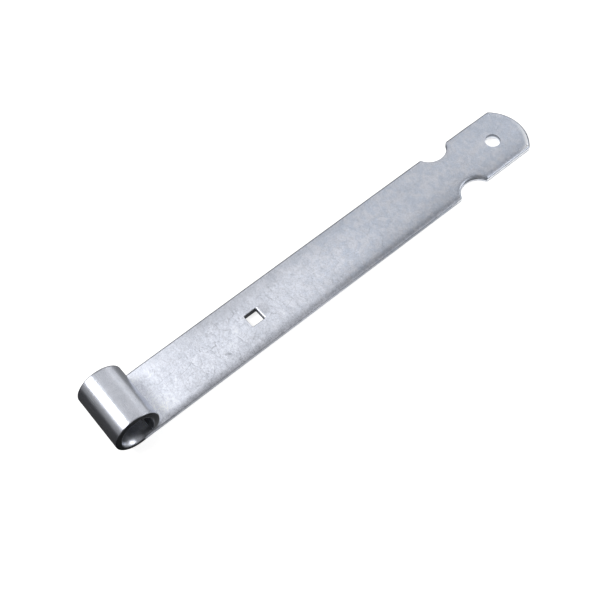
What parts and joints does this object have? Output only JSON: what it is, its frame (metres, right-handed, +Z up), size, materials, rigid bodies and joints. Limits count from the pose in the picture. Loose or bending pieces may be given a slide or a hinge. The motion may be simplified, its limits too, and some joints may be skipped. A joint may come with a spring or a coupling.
{
  "type": "strap hinge band with rolled eye",
  "caption": "Galvanised steel hinge band: a long flat strap rolled into a pin eye at one end, with a square bolt hole, a round screw hole, notched edges and an arched tip.",
  "frame": {"origin": "middle of the eye's axis, halfway across the strap's width", "axes": "+X from the eye to the tip along the strap, +Y along the pin's axis, +Z up, away from the strap's flat back"},
  "size_m": [0.2999, 0.035, 0.0264],
  "materials": {
    "zinc_steel": "satin galvanised, softly mottled"
  },
  "bodies": {
    "root": {"hinge_band": "zinc_steel"}
  },
  "joints": []
}
